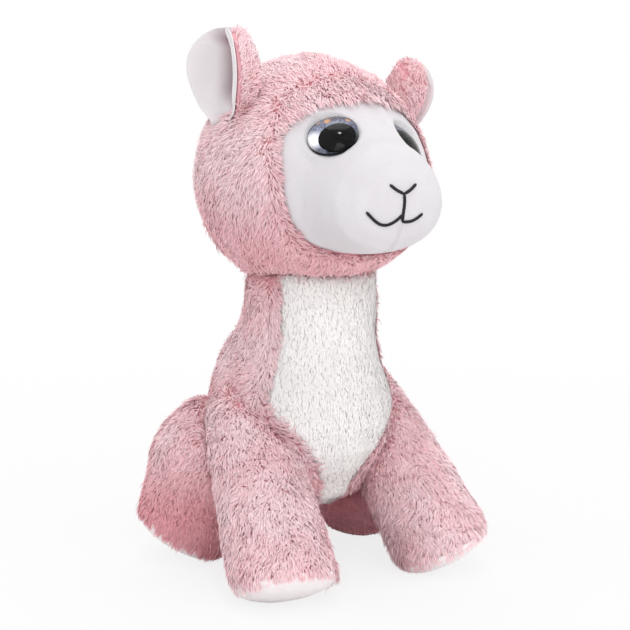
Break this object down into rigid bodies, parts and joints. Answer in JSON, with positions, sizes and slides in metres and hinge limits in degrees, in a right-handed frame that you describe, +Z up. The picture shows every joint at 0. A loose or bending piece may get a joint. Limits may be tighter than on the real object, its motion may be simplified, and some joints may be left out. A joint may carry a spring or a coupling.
{
  "type": "plush toy llama",
  "caption": "Sitting plush llama with a pink fur body, a smooth white face and chest, upright ears and domed glossy eyes.",
  "frame": {"origin": "on the floor, at the middle of the box round the toy", "axes": "+Z up, the toy looks along -Y, its left side is +X"},
  "size_m": [0.1394, 0.1534, 0.2354],
  "materials": {
    "pink_fur": "medium pile fur",
    "white_pile": "short smooth pile",
    "white_fur": "short fur",
    "stuffing": "polyester fibre",
    "thread": "satin stitch",
    "eye_lens": "clear polished plastic",
    "eye_iris": "glitter film",
    "eye_pupil": "gloss",
    "eye_washer": "moulded"
  },
  "bodies": {
    "root": {"chest_panel": "white_fur", "ear_back_left": "pink_fur", "ear_back_right": "pink_fur", "ear_lining_left": "white_pile", "ear_lining_right": "white_pile", "eye_iris_left": "eye_iris", "eye_iris_right": "eye_iris", "eye_lens_left": "eye_lens", "eye_lens_right": "eye_lens", "eye_pupil_left": "eye_pupil", "eye_pupil_right": "eye_pupil", "eye_washer_left": "eye_washer", "eye_washer_right": "eye_washer", "face_panel": "white_pile", "front_leg_left": "pink_fur", "front_leg_right": "pink_fur", "front_leg_stuffing_left": "stuffing", "front_leg_stuffing_right": "stuffing", "front_sole_left": "white_pile", "front_sole_right": "white_pile", "head_cover": "pink_fur", "head_stuffing": "stuffing", "hind_leg_left": "pink_fur", "hind_leg_right": "pink_fur", "hind_leg_stuffing_left": "stuffing", "hind_leg_stuffing_right": "stuffing", "hind_sole_left": "white_pile", "hind_sole_right": "white_pile", "lip_stitch": "thread", "mouth_stitch": "thread", "nose_stitch": "thread", "tail": "pink_fur", "torso_cover": "pink_fur", "torso_stuffing": "stuffing"}
  },
  "joints": []
}
